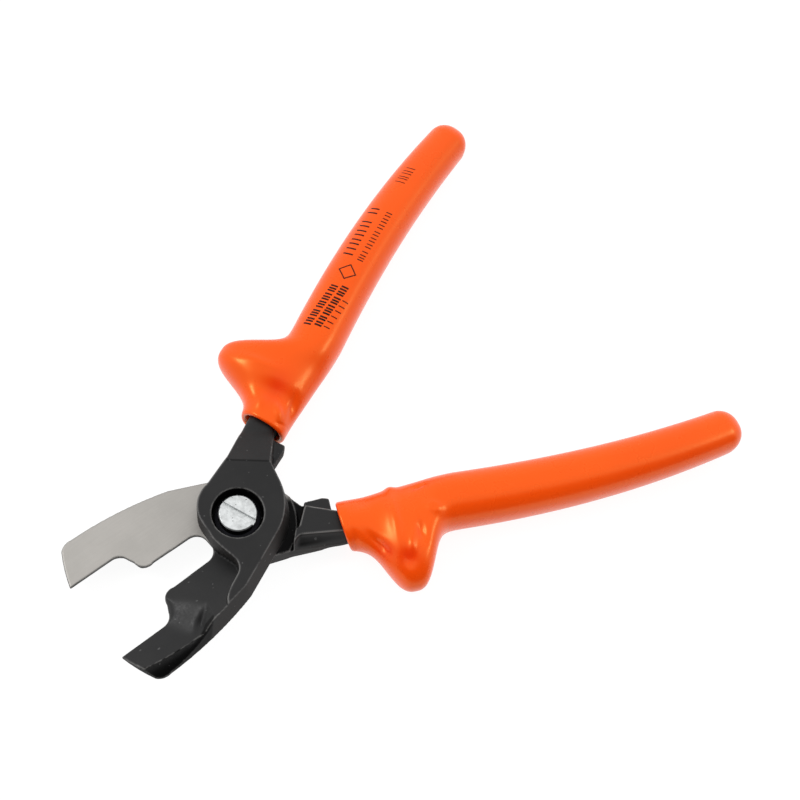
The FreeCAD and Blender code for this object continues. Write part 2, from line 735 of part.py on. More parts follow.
forging = make_forging()
doc.recompute()
nodes = make_arms(forging) + make_grips(forging)
nodes += [make_bolt(), make_spring_washer(), make_back_washer(), make_lock_nut(), make_locking_ring()]
doc.recompute()
check_document()
os.makedirs("parts", exist_ok=True)
for node in nodes:
    check_shape(node)
    node.Shape.exportStep(os.path.join("parts", node.Label + ".step"))
    box = node.Shape.BoundBox
    print("%-14s %2d solid %9.1f mm3  x %.1f %.1f  y %.1f %.1f  z %.2f %.2f" % (
        node.Label, len(node.Shape.Solids), node.Shape.Volume,
        box.XMin, box.XMax, box.YMin, box.YMax, box.ZMin, box.ZMax))
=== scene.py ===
"""The looks of the insulated cable cutter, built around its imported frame.

Row frame: the pivot axis is Z through the origin and z = 0 is the shear plane. An arm's own frame
has u along its handle, v outwards and w up from its shear face; the rear arm is the front one
turned over. Sizes are in millimetres until a piece is placed, and Blender's meshes are in metres.
"""
import math

import bmesh
import bpy
import numpy as np
from mathutils import Matrix, Vector


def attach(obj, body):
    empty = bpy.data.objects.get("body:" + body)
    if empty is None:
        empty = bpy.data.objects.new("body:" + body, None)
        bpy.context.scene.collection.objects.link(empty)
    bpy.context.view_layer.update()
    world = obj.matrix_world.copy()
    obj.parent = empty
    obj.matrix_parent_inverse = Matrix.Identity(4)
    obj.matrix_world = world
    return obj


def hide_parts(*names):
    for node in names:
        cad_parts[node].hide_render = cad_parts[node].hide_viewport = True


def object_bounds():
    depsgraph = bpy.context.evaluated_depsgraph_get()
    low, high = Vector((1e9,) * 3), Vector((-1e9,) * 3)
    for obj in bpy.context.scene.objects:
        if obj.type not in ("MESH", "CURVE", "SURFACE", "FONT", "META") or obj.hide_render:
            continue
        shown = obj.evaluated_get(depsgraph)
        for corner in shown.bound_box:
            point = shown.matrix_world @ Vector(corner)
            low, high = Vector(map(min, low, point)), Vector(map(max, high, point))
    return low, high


MM = 0.001
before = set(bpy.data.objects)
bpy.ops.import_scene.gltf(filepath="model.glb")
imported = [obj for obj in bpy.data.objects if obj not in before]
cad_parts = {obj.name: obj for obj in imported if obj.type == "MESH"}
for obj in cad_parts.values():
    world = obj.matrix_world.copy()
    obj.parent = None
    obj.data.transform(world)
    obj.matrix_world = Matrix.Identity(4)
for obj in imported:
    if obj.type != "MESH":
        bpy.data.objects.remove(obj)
cad_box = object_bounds()

# The arms' places at rest, and how wide they stand open.
HALF_OPENING = math.radians(57.27 / 2)
FRONT_PLACE = Matrix.Rotation(HALF_OPENING, 4, "Z")
REAR_PLACE = Matrix.Rotation(-HALF_OPENING, 4, "Z") @ Matrix.Rotation(math.pi, 4, "X")
ARMS = {
    "front": (FRONT_PLACE, "front_half"),
    "rear": (REAR_PLACE, "rear_half"),
}


# ---------------------------------------------------------------- meshes

def new_piece(name, form):
    """An object that holds a finished bmesh, with its faces turned outwards and smooth."""
    bmesh.ops.recalc_face_normals(form, faces=form.faces)
    mesh = bpy.data.meshes.new(name)
    form.to_mesh(mesh)
    form.free()
    mesh.shade_smooth()
    piece = bpy.data.objects.new(name, mesh)
    bpy.context.scene.collection.objects.link(piece)
    return piece


def modify(piece, kind, **settings):
    """Adds a modifier to a piece, with its settings."""
    modifier = piece.modifiers.new(kind.lower(), kind)
    for name, value in settings.items():
        setattr(modifier, name, value)


def settle(piece):
    """Turns a piece's modifiers into its mesh."""
    graph = bpy.context.evaluated_depsgraph_get()
    mesh = bpy.data.meshes.new_from_object(piece.evaluated_get(graph))
    piece.modifiers.clear()
    piece.data = mesh
    mesh.name = piece.name
    mesh.shade_smooth()


def finish_piece(piece, body, node, material):
    """Gives a piece its material, the body that it moves with and the node that it stands for."""
    piece.data.materials.clear()
    piece.data.materials.append(material)
    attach(piece, body)
    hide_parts(node)


def read_vertices(mesh, field):
    flat = np.zeros(len(mesh.vertices) * 3)
    mesh.vertices.foreach_get(field, flat)
    return flat.reshape(-1, 3)


def arm_turn(place):
    """The turn from the row frame to the frame of the arm that stands at a place."""
    return np.array(place.inverted())[:3, :3]


def arm_points(mesh, to_arm):
    """A mesh's points in an arm's own frame, in millimetres."""
    return read_vertices(mesh, "co") @ to_arm.T / MM


def arm_normals(mesh, to_arm):
    return read_vertices(mesh, "normal") @ to_arm.T


def move_points(mesh, local, to_arm):
    """Puts a mesh's points where they are given in an arm's own frame."""
    mesh.vertices.foreach_set("co", (local * MM @ to_arm).ravel())
    mesh.update()


class Neighbours:
    """Averages a value over each point's neighbours."""

    def __init__(self, mesh):
        ends = np.zeros(len(mesh.edges) * 2, np.int64)
        mesh.edges.foreach_get("vertices", ends)
        self.ends = ends.reshape(-1, 2)
        self.count = len(mesh.vertices)
        self.valence = np.maximum(np.bincount(ends, minlength=self.count), 1)

    def mean(self, values):
        total = np.zeros_like(values)
        for near, far in ((0, 1), (1, 0)):
            if values.ndim == 1:
                total += np.bincount(self.ends[:, near], values[self.ends[:, far]], self.count)
            else:
                for axis in range(values.shape[1]):
                    column = values[self.ends[:, far], axis]
                    total[:, axis] += np.bincount(self.ends[:, near], column, self.count)
        return total / (self.valence if values.ndim == 1 else self.valence[:, None])

    def blur(self, values, times):
        for _ in range(times):
            values = 0.5 * values + 0.5 * self.mean(values)
        return values


def store(mesh, name, values):
    """Keeps a value from 0 to 1 at each point, for a material to read."""
    attribute = mesh.attributes.new(name, "FLOAT", "POINT")
    attribute.data.foreach_set("value", np.clip(values, 0, 1).astype(np.float32))


def fade(values, low, high):
    """0 below low, 1 above high and smooth between; high may be the lower one."""
    share = np.clip((values - low) / (high - low), 0, 1)
    return share * share * (3 - 2 * share)


# ---------------------------------------------------------------- materials

def set_range(node, low, high, to_low, to_high):
    """Says what a Map Range node reads and gives."""
    for socket, amount in zip(("From Min", "From Max", "To Min", "To Max"), (low, high, to_low, to_high)):
        node.inputs[socket].default_value = amount


class Finish:
    """A material's nodes, with a short word for each kind that the finishes here are made of."""

    def __init__(self, name, **settings):
        self.material = bpy.data.materials.new(name)
        self.material.use_nodes = True
        self.tree = self.material.node_tree
        self.shader = self.tree.nodes["Principled BSDF"]
        self.place = self.node("ShaderNodeTexCoord").outputs["Object"]
        for socket, value in settings.items():
            self.shader.inputs[socket.replace("_", " ")].default_value = value

    def node(self, kind, **fields):
        node = self.tree.nodes.new(kind)
        for name, value in fields.items():
            setattr(node, name, value)
        return node

    def feed(self, socket, value):
        if isinstance(value, bpy.types.NodeSocket):
            self.tree.links.new(value, socket)
        else:
            socket.default_value = value

    def times(self, first, second):
        node = self.node("ShaderNodeMath", operation="MULTIPLY")
        self.feed(node.inputs[0], first)
        self.feed(node.inputs[1], second)
        return node.outputs[0]

    def mix(self, share, first, second):
        node = self.node("ShaderNodeMix", data_type="RGBA")
        self.feed(node.inputs[0], share)
        self.feed(node.inputs[6], first)
        self.feed(node.inputs[7], second)
        return node.outputs[2]

    def blend(self, share, first, second):
        node = self.node("ShaderNodeMix", data_type="FLOAT")
        self.feed(node.inputs[0], share)
        self.feed(node.inputs[2], first)
        self.feed(node.inputs[3], second)
        return node.outputs[0]

    def noise(self, scale, detail=3.0, roughness=0.5, stretch=(1, 1, 1), turn=0.0):
        mapping = self.node("ShaderNodeMapping")
        self.feed(mapping.inputs["Vector"], self.place)
        mapping.inputs["Scale"].default_value = stretch
        mapping.inputs["Rotation"].default_value = (0, 0, turn)
        node = self.node("ShaderNodeTexNoise")
        self.feed(node.inputs["Vector"], mapping.outputs[0])
        node.inputs["Scale"].default_value = scale
        node.inputs["Detail"].default_value = detail
        node.inputs["Roughness"].default_value = roughness
        return node.outputs["Fac"]

    def range(self, value, low, high, to_low=0.0, to_high=1.0):
        node = self.node("ShaderNodeMapRange", interpolation_type="SMOOTHSTEP")
        self.feed(node.inputs["Value"], value)
        set_range(node, low, high, to_low, to_high)
        return node.outputs["Result"]

    def attribute(self, name):
        return self.node("ShaderNodeAttribute", attribute_name=name).outputs["Fac"]

    def bump(self, height, strength, depth):
        node = self.node("ShaderNodeBump")
        self.feed(node.inputs["Height"], height)
        node.inputs["Strength"].default_value = strength
        node.inputs["Distance"].default_value = depth
        return node.outputs["Normal"]

    def done(self, **sockets):
        for name, value in sockets.items():
            self.feed(self.shader.inputs[name.replace("_", " ")], value)
        return self.material


def black_oxide():
    """Black oxide on forged steel: satin, worn along the edges with painted highlights there, ground bright
    on the shear face, with a painted warm reflection on the side walls and painted shade in recesses, corners
    and creases.
    """
    paint = Finish("black_oxide_steel", IOR=1.4)
    ground = paint.attribute("ground")
    edge = paint.attribute("edge")
    side = paint.attribute("side")
    painted_shade = paint.attribute("painted_shade")
    cloud = paint.noise(90, 4, 0.6)
    grain = paint.noise(1500, 3, 0.6)
    speck = paint.range(paint.noise(700, 1, 0.4), 0.735, 0.76)
    black = paint.mix(paint.range(cloud, 0.35, 0.65),
                      (0.0035, 0.0035, 0.0038, 1), (0.0065, 0.0063, 0.0065, 1))
    # Painted warm reflection: the side walls get a lighter, browner black by the way they face.
    black = paint.mix(paint.times(side, 0.7), black, (0.009, 0.0065, 0.0055, 1))
    # Painted shade: the counterbore, inner corners, the scoop, the land behind the front arm and the head's
    # crease are darkened.
    black = paint.mix(painted_shade, black, (0.0015, 0.0015, 0.0015, 1))
    black = paint.mix(paint.times(speck, 0.5), black, (0.10, 0.10, 0.10, 1))
    # Worn edges, partly real rubbing and partly a painted highlight: convex corners are lightened for the
    # light they catch.
    edge_wear_and_highlight = paint.times(edge, paint.range(paint.noise(260, 4, 0.7), 0.25, 0.55))
    black = paint.mix(paint.times(edge_wear_and_highlight, 0.9), black, (0.17, 0.165, 0.16, 1))
    lines = paint.noise(2600, 2, 0.5, stretch=(0.04, 1, 1), turn=0.9)
    steel = paint.mix(paint.range(cloud, 0.3, 0.7), (0.39, 0.375, 0.352, 1), (0.425, 0.408, 0.384, 1))
    steel = paint.mix(paint.range(lines, 0.3, 0.7, 0.0, 0.25), steel, (0.355, 0.34, 0.32, 1))
    height = paint.blend(ground, grain, paint.times(lines, 0.6))
    oxide_rough = paint.blend(side, paint.range(grain, 0.3, 0.7, 0.38, 0.48), 0.75)
    return paint.done(
        Base_Color=paint.mix(ground, black, steel),
        # The painted shade also takes the reflection away in those places.
        Specular_Tint=paint.mix(painted_shade, (1, 1, 1, 1), (0.12, 0.12, 0.12, 1)),
        Metallic=paint.times(ground, 0.9),
        Roughness=paint.blend(ground, oxide_rough, 0.5),
        Normal=paint.bump(height, 0.25, 0.00002))


def dipped_plastic():
    """Glossy orange plastic, dipped in layers: a little uneven, with painted shade on the guards' slopes and
    deep in the mouth.
    """
    paint = Finish("dipped_plastic", IOR=1.7, Specular_Tint=(1.0, 0.70, 0.16, 1),
                   Coat_Weight=0.10, Coat_IOR=1.5, Coat_Roughness=0.2)
    flow = paint.noise(38, 2, 0.5)
    ripple = paint.noise(140, 3, 0.5)
    orange = paint.mix(paint.range(flow, 0.3, 0.7), (0.97, 0.067, 0.0003, 1), (1.0, 0.074, 0.0004, 1))
    mottle = paint.range(paint.noise(900, 2, 0.5), 0.62, 0.78, 0.0, 0.10)
    orange = paint.mix(mottle, orange, (0.88, 0.048, 0.0008, 1))
    # Painted shade on the guards' slopes.
    orange = paint.mix(paint.attribute("painted_guard_shade"), orange, (0.93, 0.034, 0.0002, 1))
    # Painted shade deep inside the mouth.
    orange = paint.mix(paint.attribute("painted_shade"), orange, (0.55, 0.02, 0.0005, 1))
    return paint.done(
        Base_Color=orange,
        Roughness=paint.range(ripple, 0.3, 0.7, 0.26, 0.31),
        Normal=paint.bump(ripple, 0.04, 0.0001))


def printing_ink():
    """Dark ink stamped on the plastic, thin in places."""
    paint = Finish("printing_ink", Roughness=0.45, Specular_IOR_Level=0.15)
    thin = paint.range(paint.noise(1400, 3, 0.6), 0.50, 0.75)
    return paint.done(
        Base_Color=paint.mix(paint.times(thin, 0.4),
                             (0.020, 0.006, 0.003, 1), (0.40, 0.04, 0.004, 1)),
        Normal=paint.bump(thin, 0.1, 0.00002))


def zinc_plate(name, tint):
    """Bright zinc plating, mottled and lightly scratched."""
    paint = Finish(name, Metallic=1.0)
    cloud = paint.noise(420, 5, 0.65)
    scratch = paint.range(paint.noise(900, 2, 0.5, stretch=(0.08, 1, 1), turn=0.5), 0.60, 0.72)
    speck = paint.range(paint.noise(1500, 1, 0.4), 0.72, 0.76)
    deep = tuple(0.72 * part for part in tint[:3]) + (1,)
    plate = paint.mix(paint.range(cloud, 0.35, 0.65), deep, tint)
    plate = paint.mix(paint.times(scratch, 0.3), plate, (0.95, 0.95, 0.95, 1))
    plate = paint.mix(speck, plate, (0.12, 0.12, 0.11, 1))
    # Painted shade on the side of the bolt head.
    plate = paint.mix(paint.attribute("painted_shade"), plate, (0.03, 0.03, 0.03, 1))
    return paint.done(
        Base_Color=plate,
        Roughness=paint.range(cloud, 0.3, 0.7, 0.30, 0.46),
        Normal=paint.bump(cloud, 0.2, 0.00003))


def nylon():
    """Undyed nylon, as the ring that locks the nut."""
    paint = Finish("nylon_ring", Roughness=0.5, Subsurface_Weight=0.15)
    shade = paint.noise(600, 3, 0.5)
    return paint.done(
        Base_Color=paint.mix(shade, (0.62, 0.60, 0.52, 1), (0.74, 0.72, 0.66, 1)),
        Normal=paint.bump(shade, 0.2, 0.00003))


def spring_steel():
    """Dark blued steel under a film of oil."""
    paint = Finish("blued_spring")
    cloud = paint.noise(500, 3, 0.5)
    return paint.done(
        Base_Color=paint.mix(cloud, (0.002, 0.002, 0.003, 1), (0.006, 0.006, 0.008, 1)),
        Specular_Tint=paint.mix(cloud, (0.2, 0.2, 0.25, 1), (0.35, 0.35, 0.4, 1)),
        Roughness=paint.range(cloud, 0.3, 0.7, 0.35, 0.5))


# ---------------------------------------------------------------- the forged arms

def cad_copy(node, name):
    """A copy of a node's mesh with its loose triangles merged."""
    form = bmesh.new()
    form.from_mesh(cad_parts[node].data)
    bmesh.ops.remove_doubles(form, verts=form.verts, dist=1e-6)
    return new_piece(name, form)


# The arms are remeshed at this size before their corners are smoothed.
GRAIN = 0.25
# How often the forged corners, the jaw's step and the neck's slope, and the stop lug are smoothed.
FORGED_PASSES, BLENDED_PASSES, LUG_PASSES = 7, 140, 22
# The tang past this place is inside the grip, and keeps this share of its faces.
TANG_HIDDEN_FROM, TANG_SHARE = 42, 0.62
# The jaw's two bevels: a point on each one's foot, and the direction in which it rises from the foot.
BEVEL_FOOT, BEVEL_RISE = 1.2, 0.466
INNER_BEVEL = (-13.5, 2.4, -0.468, -0.884)
OUTER_BEVEL = (-34.5, 5.3, -0.482, -0.876)
# The scoop behind the tip lies between a ridge and a foot: how far from the pivot, and how far out.
SCOOP_RIDGE = ((27.5, -5.8), (30.5, -4.6), (34.0, -4.7), (36.0, -3.9), (40.0, -0.6), (44.0, 2.0),
               (46.0, 3.8), (47.5, 7.0))
SCOOP_FOOT = ((27.5, -6.3), (32.0, -7.6), (37.0, -6.9), (42.0, -5.0), (46.0, -2.4))
# The crease across the head, where it ends and the neck begins to fall.
CREASE_TURN, CREASE_PLACE = math.radians(22.8), 15.3


def forged_arm(side, material):
    """The arm's own solid with its corners softened as a forging's are, and its ground faces left flat."""
    place, body = ARMS[side]
    arm = cad_copy(side + "_arm", side + "_arm_forged")
    modify(arm, "REMESH", mode="VOXEL", voxel_size=GRAIN * MM)
    settle(arm)
    to_arm = arm_turn(place)
    local = arm_points(arm.data, to_arm)
    lean_neck(local)
    ease_step(local, arm_normals(arm.data, to_arm))
    move_points(arm.data, local, to_arm)
    # Forged faces are smoothed more than the ground edges beside the shear plane.
    forged = 0.10 + 0.90 * fade(local[:, 2], 0.3, 2.0)
    # The jaw's two bevels run into each other, and the neck's slope into the tang, without a corner.
    step = np.hypot(local[:, 0] + 29.5, local[:, 1] - 3.2)
    blended = fade(step, 8.0, 4.5) * fade(local[:, 2], 1.5, 2.6)
    neck = fade(local[:, 0], 22, 25) * fade(local[:, 2], 2.6, 3.4) * fade(local[:, 0], 34, 31)
    blended = np.maximum(blended, neck)
    lug = fade(local[:, 0], 20.5, 22) * fade(local[:, 1], 1.0, -0.5) * fade(np.abs(local[:, 2]), 3.0, 2.4)
    smooth_where(arm, "blended", blended, BLENDED_PASSES)
    smooth_where(arm, "lug", lug, LUG_PASSES)
    smooth_where(arm, "forged", forged, FORGED_PASSES)
    thin_tang(arm, to_arm)
    mark_steel(arm.data, to_arm)
    finish_piece(arm, body, side + "_arm", material)


def smooth_where(piece, name, weights, times):
    """Smooths a piece as much as a weight says at each point."""
    group = piece.vertex_groups.new(name=name)
    for level in range(1, 21):
        chosen = np.nonzero(np.round(weights * 20).astype(int) == level)[0]
        if len(chosen):
            group.add(chosen.tolist(), level / 20, "REPLACE")
    modify(piece, "SMOOTH", factor=0.5, iterations=times, vertex_group=name)
    settle(piece)


def bevel_height(local, bevel):
    """How high one of the jaw's bevels stands over each point."""
    u, v, run_u, run_v = bevel
    return BEVEL_FOOT + BEVEL_RISE * np.maximum((local[:, 0] - u) * run_u + (local[:, 1] - v) * run_v, 0)


def ease_step(local, normal):
    """Between its crest and its notch the jaw falls gently from the inner bevel to the outer one."""
    inner, outer = bevel_height(local, INNER_BEVEL), bevel_height(local, OUTER_BEVEL)
    along = fade(local[:, 0], -24.5, -35.5)
    share = fade(local[:, 0], -22.5, -24.0) * fade(local[:, 0], -38.0, -36.5) * fade(normal[:, 2], 0.2, 0.4)
    share *= fade(local[:, 1], -4.0, -2.0) * fade(local[:, 2], 0.8, 1.2)
    local[:, 2] += share * (inner * (1 - along) + outer * along - local[:, 2])


def lean_neck(local):
    """The neck's outer side leans in below the middle plane, as the forging's draft makes it."""
    share = fade(local[:, 0], 12.5, 16.5) * fade(local[:, 0], 38, 33) * fade(local[:, 1], 4.5, 8.5)
    local[:, 1] -= share * (2.9 - 0.09 * (local[:, 0] - 15.5)) * fade(local[:, 2], 0.4, -3.8)


def thin_tang(arm, to_arm):
    """The tang inside the grip is never seen, so it keeps fewer faces."""
    local = arm_points(arm.data, to_arm)
    hidden = arm.vertex_groups.new(name="hidden")
    hidden.add(np.nonzero(local[:, 0] > TANG_HIDDEN_FROM)[0].tolist(), 1.0, "REPLACE")
    modify(arm, "DECIMATE", ratio=TANG_SHARE, vertex_group="hidden")
    settle(arm)


def mark_steel(mesh, to_arm):
    """Stores where the steel is ground, where an edge is worn and takes a painted highlight, where painted
    shade darkens a recess, corner or crease, and where it is a side that takes a painted warm reflection.
    """
    local = arm_points(mesh, to_arm)
    normal = arm_normals(mesh, to_arm)
    near = Neighbours(mesh)
    # How sharply the surface turns, with 1 on a corner about a quarter of a millimetre round.
    turn = near.blur(((local - near.mean(local)) * normal).sum(axis=1), 1) / GRAIN ** 2
    ground = fade(local[:, 2], 0.30, 0.10) * fade(normal[:, 2], -0.6, -0.9) * fade(local[:, 0], 18.2, 17.2)
    radius = np.hypot(local[:, 0], local[:, 1])
    bearing = np.degrees(np.arctan2(local[:, 1], local[:, 0]))
    # Painted shadow: in this arc the ground land keeps no bright steel, where the front boss's shadow falls.
    ground *= 1 - fade(radius, 12.5, 13.5) * fade(local[:, 0], 0, 2) * fade(bearing, -26, -14)
    ground *= 1 - fade(radius, 16.2, 16.6) * fade(local[:, 0], 4, 6)
    # Painted shade in the counterbore round the bolt head.
    pocket = fade(radius, 7.6, 6.9) * fade(local[:, 2], 8.3, 7.6)
    store(mesh, "ground", near.blur(ground, 1))
    ridge = np.interp(-local[:, 0], *zip(*SCOOP_RIDGE))
    foot = np.interp(-local[:, 0], *zip(*SCOOP_FOOT))
    # Painted shade in the scoop behind the tip.
    scoop = fade(ridge - local[:, 1], 0.0, 0.5) * fade(local[:, 1] - foot, 0.0, 0.4)
    scoop *= fade(local[:, 0], -27.6, -28.6) * fade(local[:, 2], 0.6, 1.0)
    # Painted shade on the land behind the front arm.
    land = fade(-local[:, 2], -1.6, -1.2) * fade(radius, 13.2, 14.0)
    land *= fade(local[:, 0], 6, 9) * fade(local[:, 0], 24, 21)
    land *= fade(normal[:, 2], -0.5, -0.8) * fade(local[:, 2], -1.8, -1.2)
    # Convex edges: real wear, and a painted highlight along them.
    store(mesh, "edge", fade(turn, 0.16, 0.5) * (1 - pocket) * fade(local[:, 0], 46, 40))
    # A painted dark line of shade along the crease across the head.
    ahead = local[:, 0] * math.cos(CREASE_TURN) + local[:, 1] * math.sin(CREASE_TURN) - CREASE_PLACE
    crease = fade(np.abs(ahead), 0.40, 0.15) * fade(local[:, 2], 7.6, 7.9) * fade(normal[:, 2], 0.8, 0.9)
    # Painted shade in inner corners.
    corner = fade(turn, -0.12, -0.4)
    store(mesh, "painted_shade", np.maximum.reduce([pocket, corner, 0.9 * scoop, 0.9 * land, 0.6 * crease]))
    # Side walls, for a rougher finish and the painted warm reflection.
    store(mesh, "side", near.blur(fade(np.abs(normal[:, 2]), 0.55, 0.15), 2))


# ---------------------------------------------------------------- the dipped grips

GRIP_START, GRIP_END = 28.7, 152.6
BOW_START, BOW, OFFSET = 55.0, 11.2, 2.6
GRIP_WIDTH, GRIP_END_WIDTH, GRIP_DEPTH = 15.9, 12.7, 15.7
GUARD_PLACE, GUARD_HEIGHT, GUARD_FULLNESS = 46.0, 15.0, 2.8
GUARD_MOUTH_SPREAD, GUARD_HANDLE_SPREAD = 9.5, 7.3
MOUTH_INNER, MOUTH_OUTER = -1.5, 12.6
MOUTH_WALL, MOUTH_SLANT, MOUTH_DEPTH = 1.5, 7.5, 11.0
# The mouth's hollow from its bottom outwards: how far out each ring is, and its share of the mouth's size.
MOUTH_RINGS = ((0.0, 0.0), (0.02, 0.45), (0.25, 0.60), (0.5, 0.74), (0.75, 0.88), (0.93, 0.985))
LIP_TURNS = (-80, -50, -20, 10, 40, 70)
PLAIN_START = BOW_START + 7
# The rings stand closer round the guard than along the plain handle.
GUARD_STEP, PLAIN_STEP = 0.55, 1.1
SQUARENESS = 2.4
SIDES = 72
# The furthest that a fold may stand out on the flat sides.
FOLD_LIMIT = 8.3
# The cuff round the mouth is thinner than the guard, which falls to it in a short slope.
CUFF_END, CUFF_FALL, CUFF_THINNING = 36.5, 6.5, 0.20
# The rear grip was dipped at a tilt, so its mouth leans over the neck.
MOUTH_LEAN = {"front": 0.0, "rear": 0.24}


def handle_centre(x):
    """How far out the middle of the handle lies at x."""
    share = max(0.0, (x - BOW_START) / (GRIP_END - BOW_START))
    return OFFSET - BOW * share ** 2.2


def handle_slope(x):
    return handle_centre(x + 0.5) - handle_centre(x - 0.5)


def half_width(x):
    share = max(0.0, x - BOW_START) / (GRIP_END - BOW_START)
    return (GRIP_WIDTH + (GRIP_END_WIDTH - GRIP_WIDTH) * share ** 2) / 2


def grip_edges(x):
    """The grip's inner and outer edge at x, with the pinch guard as a bell on the outer side."""
    along = min(1.0, (x - GRIP_START) / (PLAIN_START - GRIP_START))
    along = along * along * (3 - 2 * along) * 0.5 + along * 0.5
    half = half_width(x)
    inner = MOUTH_INNER + along * (handle_centre(PLAIN_START) - half - MOUTH_INNER)
    outer = MOUTH_OUTER + along * (handle_centre(PLAIN_START) + half - MOUTH_OUTER)
    from_guard = x - GUARD_PLACE
    spread = GUARD_MOUTH_SPREAD if from_guard < 0 else GUARD_HANDLE_SPREAD
    return inner, outer + GUARD_HEIGHT * math.exp(-abs(from_guard / spread) ** GUARD_FULLNESS)


def station(x, v, slope, half, depth):
    """One section across the handle: its centre, the slope of its axis and its half sizes."""
    mouth = max(0.0, min(1.0, 1 - (x - GRIP_START) / 12))
    return {"u": x, "v": v, "slope": slope, "half": half, "depth": depth, "mouth": mouth}


def skin_station(x):
    """The section of the grip's skin at x."""
    depth = GRIP_DEPTH / 2
    if x < PLAIN_START:
        inner, outer = grip_edges(x)
        share = (x - GRIP_START) / (GUARD_PLACE - GRIP_START)
        swell = 1 - CUFF_THINNING * float(fade(x, CUFF_END + CUFF_FALL, CUFF_END))
        slant = math.radians(MOUTH_SLANT) * min(0.0, share - 1)
        return station(x, (inner + outer) / 2, slant, (outer - inner) / 2, depth * swell)
    half = half_width(x)
    return station(x, handle_centre(x), math.atan(handle_slope(x)), half, half * depth * 2 / GRIP_WIDTH)


def grip_stations():
    """All sections from the bottom of the mouth, out round the lip and along the skin to the end."""
    rim = skin_station(GRIP_START)
    stations = []
    for share, inset in MOUTH_RINGS:
        x = GRIP_START + MOUTH_DEPTH * (1 - share)
        stations.append(station(x, rim["v"] - 1.2 * (1 - share), rim["slope"] * (0.4 + 0.6 * share),
                                (rim["half"] - MOUTH_WALL) * inset, (rim["depth"] - MOUTH_WALL) * inset))
    # The lip is a half round as thick as the wall.
    for turn in LIP_TURNS:
        angle = math.radians(turn)
        ring = station(GRIP_START + 0.75 * (1 - math.cos(angle)), rim["v"], rim["slope"], 0, 0)
        for size in ("half", "depth"):
            ring[size] = rim[size] - MOUTH_WALL / 2 + MOUTH_WALL / 2 * math.sin(angle)
        stations.append(ring)
    cap = half_width(GRIP_END)
    body_end = GRIP_END - cap
    x = GRIP_START + 0.8
    while x < body_end:
        stations.append(skin_station(x))
        x += GUARD_STEP if x < PLAIN_START + 4 else PLAIN_STEP
    last = skin_station(body_end)
    for turn in range(0, 91, 6):
        angle = math.radians(turn)
        reach = cap * math.sin(angle)
        narrow = max(math.cos(angle), 0.0)
        u, v = body_end + reach * math.cos(last["slope"]), last["v"] + reach * math.sin(last["slope"])
        stations.append(station(u, v, last["slope"], last["half"] * narrow, last["depth"] * narrow))
    return stations


def oval(turn):
    """How far a slightly squared oval of unit size reaches at an angle."""
    return (abs(math.cos(turn)) ** SQUARENESS + abs(math.sin(turn)) ** SQUARENESS) ** (-1 / SQUARENESS)


# Folds that the dip left round each guard on the side that faces up at rest, and weaker below: the
# place, the length, the width, the turn from the handle's line in degrees, and how far it stands out.
FOLDS = {
    "front": (
        (44.4, 14.0, 5.5, 1.6, 92, 0.50),
        (38.2, 5.6, 4.6, 3.4, 52, -0.80),
        (33.7, 8.4, 2.0, 1.6, 0, 0.45),
        (33.0, 2.6, 2.6, 1.2, 35, 0.75),
        (36.6, -0.4, 4.5, 1.0, 10, -0.60),
        (29.6, 1.2, 1.8, 0.5, -60, -0.35),
    ),
    "rear": (
        (42.2, 7.5, 6.5, 1.6, 90, 0.60),
        (33.5, 0.8, 4.5, 2.2, -30, -0.45),
        (36.8, 14.0, 4.0, 1.3, 57, -1.30),
        (43.8, 19.5, 2.6, 2.0, 80, -0.90),
        (30.6, 11.5, 2.6, 1.3, 80, -0.50),
        (45.4, 15.4, 3.2, 1.0, 102, 0.60),
        (48.8, 12.2, 2.8, 1.2, 90, -0.90),
        (53.5, 6.0, 2.4, 1.7, 30, 0.70),
        (50.6, -1.2, 2.0, 0.5, -14, -0.50),
        (43.2, -3.2, 1.5, 2.0, 0, 0.70),
    ),
}


# Patches of painted shade on the guards' slopes, where they turn from the light: the place, the length and
# the width.
PAINTED_GUARD_SHADE = {
    "front": ((40.0, 5.8, 4.8, 3.6),),
    "rear": ((38.0, 15.5, 3.0, 2.6), (44.0, 18.5, 3.2, 2.8)),
}


def inside_mouth(local):
    """1 on the wall inside the mouth, and 0 on the skin."""
    rim = skin_station(GRIP_START)
    reach = np.hypot((local[:, 1] - rim["v"]) / (rim["half"] - 0.9), local[:, 2] / (rim["depth"] - 0.9))
    return fade(reach, 1.02, 0.95) * fade(local[:, 0], GRIP_START + 14, GRIP_START + 12)


def fold_grip(mesh, side, to_arm):
    """Raises and dents the skin where the dip left its folds."""
    local = arm_points(mesh, to_arm)
    normal = arm_normals(mesh, to_arm)
    seen = 1 if side == "front" else -1
    strength = 0.35 + 0.65 * fade(local[:, 2] * seen, -1.0, 2.5)
    rise = np.zeros(len(local))
    for u, v, length, width, turn, height in FOLDS[side]:
        turn = math.radians(turn)
        along = (local[:, 0] - u) * math.cos(turn) + (local[:, 1] - v) * math.sin(turn)
        across = (local[:, 1] - v) * math.cos(turn) - (local[:, 0] - u) * math.sin(turn)
        rise += height * np.exp(-(along / length) ** 2 - (across / width) ** 2)
    # The lip keeps its round edge, and the bottom of the mouth its place.
    outside = fade(local[:, 0], GRIP_START + 0.4, GRIP_START + 2.0)
    local += normal * (rise * strength * outside * (1 - inside_mouth(local)))[:, None]
    local[:, 2] = np.clip(local[:, 2], -FOLD_LIMIT, FOLD_LIMIT)
    move_points(mesh, local, to_arm)


def on_skin(u, across, up):
    """The point of the grip's skin over a place on its flat side, raised by up."""
    section = skin_station(u)
    reach = min(1.0, abs(across - section["v"]) / section["half"])
    height = section["depth"] * (1 - reach ** SQUARENESS) ** (1 / SQUARENESS)
    return Vector((u, across, height + up))


